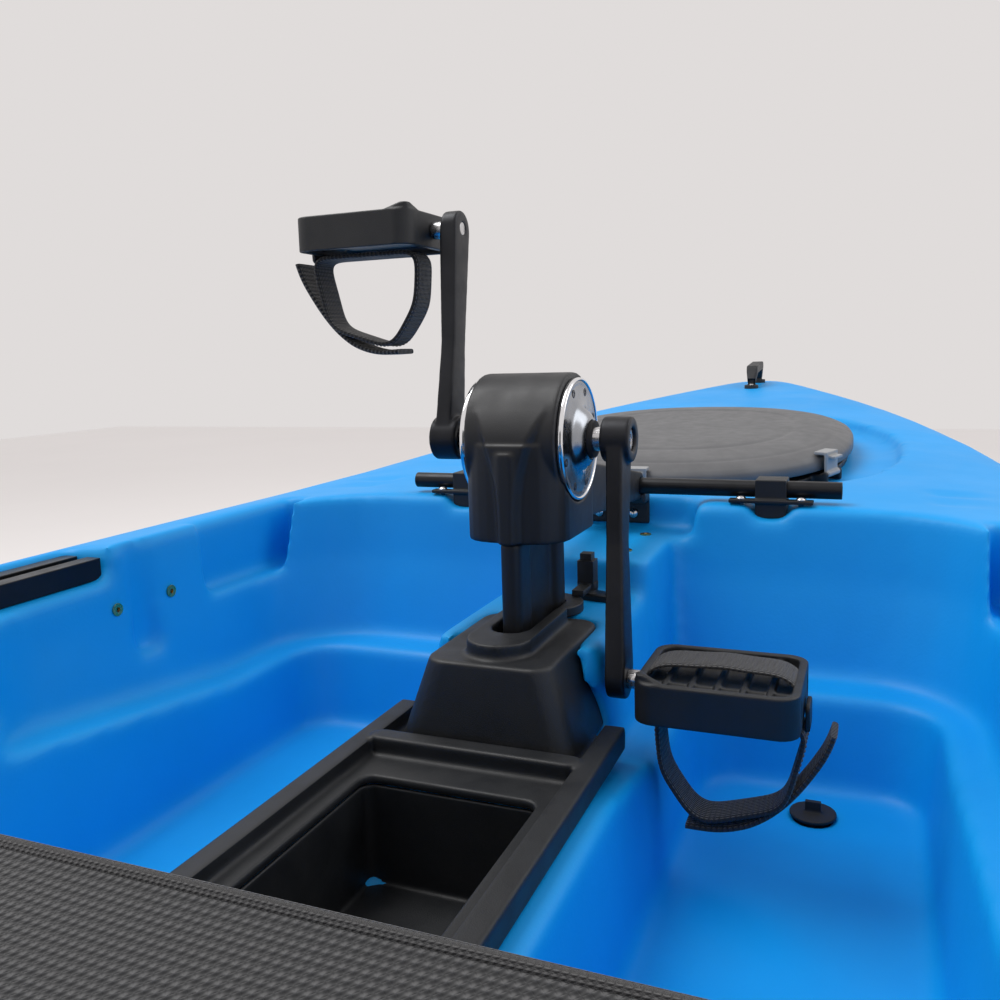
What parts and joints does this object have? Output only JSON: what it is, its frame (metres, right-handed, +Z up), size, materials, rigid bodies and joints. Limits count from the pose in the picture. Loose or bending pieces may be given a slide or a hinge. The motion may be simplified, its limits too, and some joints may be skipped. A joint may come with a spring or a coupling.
{
  "type": "pedal boat",
  "caption": "Sit-on-top pedal kayak: hollow moulded hull with hatch, gear rails, seat and rudder, and a crank-driven propeller unit on a cross bar.",
  "frame": {"origin": "on the underside of the keel at the hull's mid-length, where the boat's flotation mount is", "axes": "+X towards the bow, +Y to port, +Z up"},
  "size_m": [3.736, 0.8542, 1.0104],
  "materials": {
    "hull_blue": "satin",
    "hatch_grey": "satin",
    "latch_grey": "satin",
    "seal_rubber": "matte",
    "black_plastic": "satin",
    "strap_web": "matte",
    "sling_mesh": "matte",
    "black_metal": "satin",
    "rail_alu": "satin",
    "seat_alu": "satin",
    "arm_alu": "satin",
    "disc_chrome": "polished",
    "steel": "satin",
    "brass": "satin",
    "gear_bronze": "satin"
  },
  "bodies": {
    "boat": {"hull_shell": "hull_blue", "hatch_ring": "black_plastic", "hatch_gasket": "seal_rubber", "hatch_pins": "steel", "gear_rail_port": "rail_alu", "gear_rail_starboard": "rail_alu", "rail_screws": "steel", "brass_inserts": "brass", "cross_bar": "rail_alu", "bar_clip_port": "black_plastic", "bar_clip_starboard": "black_plastic", "dome_screws": "steel", "dock_bracket": "black_plastic", "console": "black_plastic", "console_tray": "black_plastic", "column_collar": "black_plastic", "lock_base": "black_plastic", "gear_housing": "black_plastic", "disc_port": "disc_chrome", "disc_starboard": "disc_chrome", "disc_bolts": "steel", "axle_seals": "seal_rubber", "crank_bearings": "steel", "shaft_bushes": "brass", "drive_leg": "black_plastic", "prop_bushes": "brass", "seat_track_port": "rail_alu", "seat_track_starboard": "rail_alu", "scupper_plugs": "seal_rubber", "handle_bow": "black_plastic", "handle_stern": "black_plastic", "rudder_bracket": "black_plastic", "steer_base": "black_plastic"},
    "cranks": {"crank_axle": "steel", "crank_gear": "gear_bronze", "crank_arm_port": "arm_alu", "crank_arm_starboard": "arm_alu", "crank_bolts": "steel", "spindle_port": "steel", "spindle_starboard": "steel"},
    "port_pedal": {"pedal_port": "black_plastic", "strap_port": "strap_web"},
    "starboard_pedal": {"pedal_starboard": "black_plastic", "strap_starboard": "strap_web"},
    "upright_shaft": {"drive_shaft": "steel"},
    "screw": {"prop_shaft": "steel", "propeller": "black_plastic", "prop_nut": "steel"},
    "lid": {"hatch_lid": "hatch_grey"},
    "catch_aft": {"latch_aft": "latch_grey"},
    "catch_port": {"latch_port": "latch_grey"},
    "catch_starboard": {"latch_starboard": "latch_grey"},
    "drive_lock": {"lock_lever": "black_plastic"},
    "seat": {"seat_frame": "seat_alu", "seat_sling": "sling_mesh"},
    "backrest": {"back_frame": "seat_alu", "back_sling": "sling_mesh"},
    "rudder_stock": {"rudder_head": "black_plastic"},
    "rudder": {"rudder_blade": "black_plastic"},
    "steering": {"steer_lever": "black_plastic"}
  },
  "joints": [
    {"name": "crank_turn", "type": "hinge", "parent": "boat", "child": "cranks", "pos_m": [0.25, 0, 0.43], "axis": [0, 1, 0], "continuous": true, "deforming": ["strap_port", "strap_starboard"]},
    {"name": "pedal_turn_port", "type": "hinge", "parent": "cranks", "child": "port_pedal", "pos_m": [0.29348, 0.1515, 0.59693], "axis": [0, 1, 0], "continuous": true},
    {"name": "pedal_turn_starboard", "type": "hinge", "parent": "cranks", "child": "starboard_pedal", "pos_m": [0.20652, -0.1515, 0.26307], "axis": [0, 1, 0], "continuous": true},
    {"name": "shaft_turn", "type": "hinge", "parent": "boat", "child": "upright_shaft", "pos_m": [0.286, 0, 0.2], "axis": [0, 0, 1], "continuous": true},
    {"name": "propeller_turn", "type": "hinge", "parent": "boat", "child": "screw", "pos_m": [0.146, 0, -0.15], "axis": [1, 0, 0], "continuous": true},
    {"name": "lid_open", "type": "hinge", "parent": "boat", "child": "lid", "pos_m": [1.15542, 0, 0.38504], "axis": [0, 1, 0], "range_deg": [0, 105]},
    {"name": "catch_aft_open", "type": "hinge", "parent": "boat", "child": "catch_aft", "pos_m": [0.5678, 0, 0.34214], "axis": [0, -1, 0], "range_deg": [0, 100]},
    {"name": "catch_port_open", "type": "hinge", "parent": "boat", "child": "catch_port", "pos_m": [0.70159, 0.19858, 0.34986], "axis": [-0.9242, -0.3781, -0.0533], "range_deg": [0, 100]},
    {"name": "catch_starboard_open", "type": "hinge", "parent": "boat", "child": "catch_starboard", "pos_m": [0.70159, -0.19858, 0.34986], "axis": [0.9242, -0.3781, 0.0533], "range_deg": [0, 100]},
    {"name": "lock_turn", "type": "hinge", "parent": "boat", "child": "drive_lock", "pos_m": [0.332, -0.018, 0.2935], "axis": [0, 0, 1], "range_deg": [0, 95]},
    {"name": "seat_slide", "type": "slide", "parent": "boat", "child": "seat", "axis": [1, 0, 0], "range_m": [-0.06, 0.06]},
    {"name": "backrest_fold", "type": "hinge", "parent": "seat", "child": "backrest", "pos_m": [-0.52, 0, 0.3], "axis": [0, 1, 0], "range_deg": [0, 75], "deforming": ["seat_sling", "back_sling"]},
    {"name": "rudder_turn", "type": "hinge", "parent": "boat", "child": "rudder_stock", "pos_m": [-1.824, 0, 0.268], "axis": [0, 0, 1], "range_deg": [-35, 35]},
    {"name": "rudder_kick", "type": "hinge", "parent": "rudder_stock", "child": "rudder", "pos_m": [-1.866, 0, 0.268], "axis": [0, 1, 0], "range_deg": [0, 100]},
    {"name": "steer_swing", "type": "hinge", "parent": "boat", "child": "steering", "pos_m": [-0.04, 0.312, 0.287], "axis": [0, 1, 0], "range_deg": [-35, 35]}
  ],
  "couplings": [
    {"joint": "shaft_turn", "follows": "crank_turn", "ratio": 5},
    {"joint": "propeller_turn", "follows": "crank_turn", "ratio": 10},
    {"joint": "steer_swing", "follows": "rudder_turn", "ratio": 1}
  ]
}
